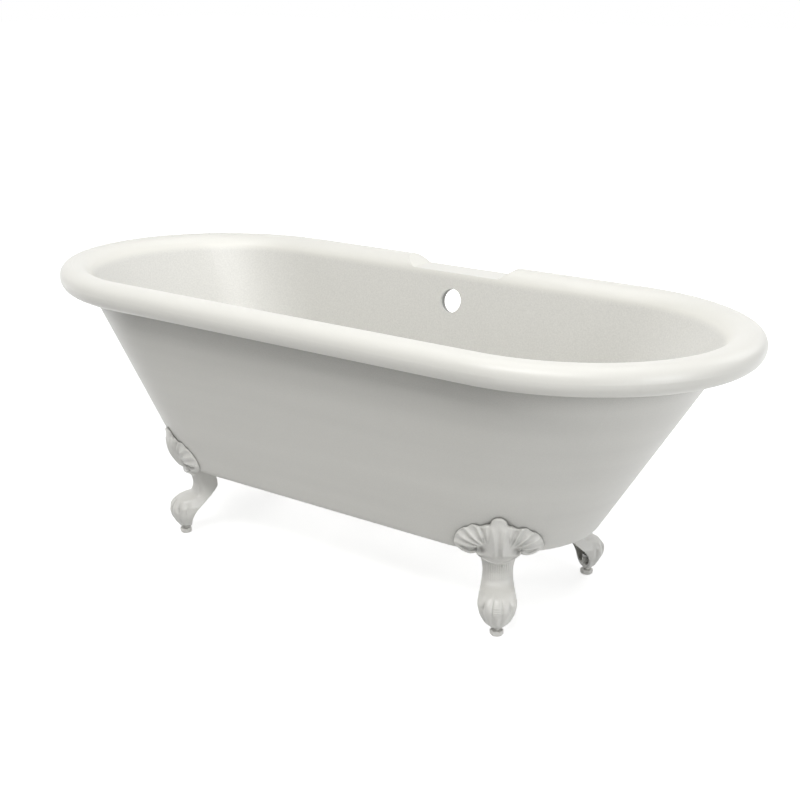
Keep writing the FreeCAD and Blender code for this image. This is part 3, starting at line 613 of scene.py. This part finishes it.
def leaf_mesh():
    """The leaf's face, its back against the wall, and the edge between them."""
    columns, rows, under_rows = LEAF_COLUMNS, LEAF_ROWS, UNDER_ROWS
    points = np.concatenate((leaf_grid(columns, rows, 0), leaf_grid(columns, under_rows, LEAF_THICK)))
    start = rows * columns
    faces = grid_faces(rows, columns, closed=False)
    faces += [face[::-1] for face in grid_faces(under_rows, columns, start, closed=False)]
    for upper, lower in ((start - columns, len(points) - columns), (0, start)):
        faces += [(upper + j, lower + j, lower + j + 1, upper + j + 1) for j in range(columns - 1)]
    for j in (0, columns - 1):
        upper = [i * columns + j for i in range(rows)]
        lower = [start + i * columns + j for i in range(under_rows)]
        faces.append(tuple(upper + lower[::-1]))
    return points, faces


def boss_mesh(inner, outer, low, high, soft=0.8, around=48):
    """A short tube with softened edges about the leveller's axis."""
    turn = np.linspace(0, 2 * np.pi, around, endpoint=False)
    profile = [(inner, low), (outer - soft, low), (outer, low + soft), (outer, high - soft),
               (outer - soft, high), (inner + soft / 2, high), (inner, high - soft / 2)]
    rows = [np.stack((r * np.cos(turn), r * np.sin(turn), np.full(around, z)), axis=1) for r, z in profile]
    faces = grid_faces(len(profile), around)
    last = (len(profile) - 1) * around
    faces += [(last + j, last + (j + 1) % around, (j + 1) % around, j) for j in range(around)]
    return np.concatenate(rows), faces


# The bolting lug: a flat plate with round corners under the bath's base.
LUG_BACK, LUG_FRONT, LUG_HALF = -90.0, -16.0, 32.0
LUG_CORNER, LUG_EDGE, CORNER_POINTS = 9.0, 0.8, 7
LUG_LOW, LUG_HIGH = SEAT - 7, SEAT - 0.2


def lug_mesh():
    front, back, side = LUG_FRONT - LUG_CORNER, LUG_BACK + LUG_CORNER, LUG_HALF - LUG_CORNER
    outline = []
    for u, v, first in ((front, side, 0), (back, side, 90), (back, -side, 180), (front, -side, 270)):
        turn = np.radians(np.linspace(first, first + 90, CORNER_POINTS))
        outline.append(np.stack((u + LUG_CORNER * np.cos(turn), v + LUG_CORNER * np.sin(turn)), axis=1))
    outline = np.concatenate(outline)
    middle = outline.mean(axis=0)
    away = outline - middle
    size = np.linalg.norm(away, axis=1)[:, None]
    levels = ((LUG_LOW, LUG_EDGE), (LUG_LOW + LUG_EDGE, 0), (LUG_HIGH - LUG_EDGE, 0), (LUG_HIGH, LUG_EDGE))
    rows = [np.column_stack((middle + away * (size - pull) / size, np.full(len(outline), z)))
            for z, pull in levels]
    columns = len(outline)
    last = (len(levels) - 1) * columns
    faces = grid_faces(len(levels), columns)
    faces.append(tuple(range(columns))[::-1])
    faces.append(tuple(range(last, last + columns)))
    return np.concatenate(rows), faces


def foot_shape():
    """One foot's points, in metres at the front right corner, and its faces."""
    boss = boss_mesh(STEM_HOLE, BOSS_RADIUS, HOLLOW_FLOOR - BOSS_SINK, BOSS_TOP)
    points, faces = [], []
    for part_points, part_faces in (leg_mesh(), leaf_mesh(), boss, lug_mesh()):
        start = sum(len(p) for p in points)
        points.append(to_world(part_points))
        faces += [tuple(start + k for k in face) for face in part_faces]
    return np.concatenate(points) / 1000, faces


def clean_mesh(mesh):
    shell = bmesh.new()
    shell.from_mesh(mesh)
    bmesh.ops.remove_doubles(shell, verts=shell.verts, dist=WELD_DISTANCE)
    bmesh.ops.recalc_face_normals(shell, faces=shell.faces)
    shell.to_mesh(mesh)
    shell.free()
    mesh.polygons.foreach_set("use_smooth", [True] * len(mesh.polygons))


def build_feet(mat):
    points, faces = foot_shape()
    for corner, (sx, sy) in CORNERS.items():
        mesh = bpy.data.meshes.new(corner + "_claw_foot")
        mesh.from_pydata((points * (sx, -sy, 1)).tolist(), [], faces)
        clean_mesh(mesh)
        mesh.materials.append(mat)
        piece = bpy.data.objects.new(corner + "_claw_foot", mesh)
        scene.collection.objects.link(piece)
        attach(piece, "bath")
        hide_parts(corner + "_foot")


add_camera()
scene.view_settings.view_transform = "Standard"
add_world(level=0.04)
add_floor(floor_material(bounce=0.56, shadow=0.9, glow=0.64, near=1.0, far=3.0))
area_light("front_top", (0.3, -2.4, 3.4), BATH_MIDDLE, (3.0, 1.6), 86, WARM)
area_light("overhead", (0.0, 0.1, 3.2), BATH_MIDDLE, (3.0, 2.2), 29)
area_light("right_side", (6.6, -1.4, 2.0), (0.3, 0, 0.4), (3.2, 3.2), 152, COOL)
area_light("left_side", (-7.0, -0.2, 2.0), (0.6, 0, 0.5), (3.6, 2.4), 150, mirrored=False)
area_light("right_back", (1.7, 2.0, 1.9), (-0.6, 0, 0.5), (1.6, 1.2), 11)
area_light("back_side", (-0.4, 3.4, 1.3), (0, 0, 0.4), (3.0, 1.2), 36, mirrored=False)

# The bowl's darker colour is painted shade inside the bath; its grain is the acrylic's own.
bowl_painted_shade = BowlShade(colour=(0.738, 0.732, 0.698), grain=0.1, low=0.578, high=0.597, straight=0.49, radius=0.331)
tub_gloss = material("tub_gloss", (0.875, 0.867, 0.818), roughness=0.32, rough_change=0.03,
                     bump=0.00002, bump_scale=60, tone=0.02, grain=0.01, grain_scale=300, bowl_shade=bowl_painted_shade)
# Painted shade: the outer skin darkens under the rim and round the feet's leaves.
skin_satin = material("skin_satin", (0.79, 0.783, 0.742), roughness=0.36, rough_change=0.05,
                      bump=0.00003, bump_scale=90, tone=0.07, tone_scale=2, tone_stretch=(0.6, 0.6, 14),
                      grain=0.03, grain_scale=400, painted_shade=PaintedShade(0.6, 0.06, 0.6))
# Painted shade: the feet darken in their creases and under the leaf.
foot_paint = material("foot_paint", (0.80, 0.793, 0.756), roughness=0.36, rough_change=0.06,
                      bump=0.0003, bump_scale=240, tone=0.06, tone_scale=40, grain=0.04, grain_scale=700,
                      coat=0.2, painted_shade=PaintedShade(0.72, 0.024, 0))
# Painted shade: the bolts, nuts, washers and inserts darken inside the foot's hollow.
zinc = material("zinc", (0.42, 0.42, 0.41), roughness=0.5, rough_change=0.1,
                bump=0.00004, bump_scale=700, tone=0.2, tone_scale=60, grain=0.08,
                metallic=0.8, painted_shade=PaintedShade(0.8, 0.06, 0))
# Painted shade: the leveller darkens where the foot shelters it.
leveller_zinc = material("leveller_zinc", (0.86, 0.85, 0.81), roughness=0.4, rough_change=0.1,
                         bump=0.00005, bump_scale=500, tone=0.12, tone_scale=70,
                         metallic=0.1, painted_shade=PaintedShade(0.25, 0.06, 0))
board_wood = material("board_wood", (0.5, 0.38, 0.25), roughness=0.7, rough_change=0.1,
                      bump=0.0002, bump_scale=80, tone=0.3, tone_scale=25, grain=0.1)
spacer_plain = material("spacer_plain", (0.36, 0.36, 0.35), roughness=0.6, rough_change=0.1,
                        bump=0.0001, tone_scale=20)

dress("inner_tub", tub_gloss)
dress("outer_skin", skin_satin)
dress("base_board", board_wood)
dress("overflow_spacer", spacer_plain)
build_feet(foot_paint)
for corner in CORNERS:
    dress(corner + "_leveller", leveller_zinc)
    for piece in ("lock_nut", "foot_bolts", "foot_washers", "foot_inserts"):
        dress(corner + "_" + piece, zinc)
